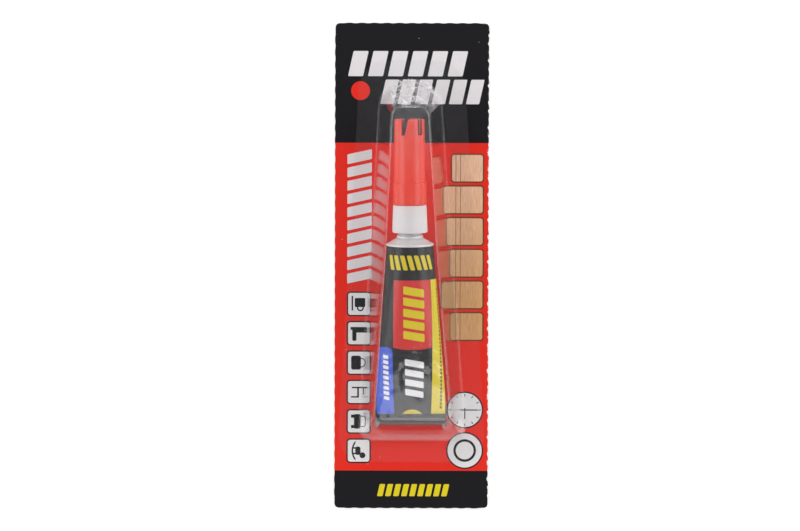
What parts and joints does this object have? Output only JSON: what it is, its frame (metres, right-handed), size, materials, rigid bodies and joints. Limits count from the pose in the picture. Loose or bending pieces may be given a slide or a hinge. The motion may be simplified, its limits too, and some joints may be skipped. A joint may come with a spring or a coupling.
{
  "type": "glue tube in a blister pack",
  "caption": "Collapsible metal glue tube with a piercing screw nozzle and a crowned screw cap, lying under a clear blister on a printed backing card.",
  "frame": {"origin": "middle of the backing card's back face, where the pack lies on a surface", "axes": "+Y along the card towards its head and the cap, +Z out of the card's front through the blister's roof, +X to the right as the front is read"},
  "size_m": [0.0444, 0.1394, 0.0156],
  "materials": {
    "card_board": "printed and varnished front, bare grey back",
    "clear_film": "clear thermoformed film",
    "tube_metal": "soft aluminium, printed round the body",
    "seal_foil": "bare foil",
    "glue": "clear viscous filling",
    "sealant": "dried latex",
    "white_plastic": "satin white polyethylene",
    "red_plastic": "satin gloss red polypropylene",
    "pin_steel": "drawn wire"
  },
  "bodies": {
    "card": {"backing_card": "card_board"},
    "tube": {"tube_body": "tube_metal", "glue_gel": "glue", "tail_sealant": "sealant", "neck_seal": "seal_foil"},
    "blister": {"blister": "clear_film"},
    "nozzle": {"nozzle": "white_plastic"},
    "pin": {"cap_pin": "pin_steel"},
    "cap": {"cap": "red_plastic"}
  },
  "joints": [
    {"name": "tube_lift", "type": "slide", "parent": "card", "child": "tube", "axis": [0, 0, 1], "range_m": [0, 0.02]},
    {"name": "blister_lift", "type": "slide", "parent": "tube", "child": "blister", "axis": [0, 0, 1], "range_m": [0, 0.03]},
    {"name": "nozzle_travel", "type": "slide", "parent": "tube", "child": "nozzle", "axis": [-0.0078, 0.9962, 0.0872], "range_m": [-0.0016, 0], "deforming": ["neck_seal"]},
    {"name": "cap_lift", "type": "slide", "parent": "nozzle", "child": "pin", "axis": [-0.0078, 0.9962, 0.0872], "range_m": [0, 0.0024]},
    {"name": "cap_spin", "type": "hinge", "parent": "pin", "child": "cap", "pos_m": [-0.00055, 0.0066, 0.00739], "axis": [-0.0078, 0.9962, 0.0872], "range_deg": [0, 720]}
  ],
  "couplings": [
    {"joint": "cap_spin", "follows": "cap_lift", "rad_per_m": 5235.9}
  ]
}
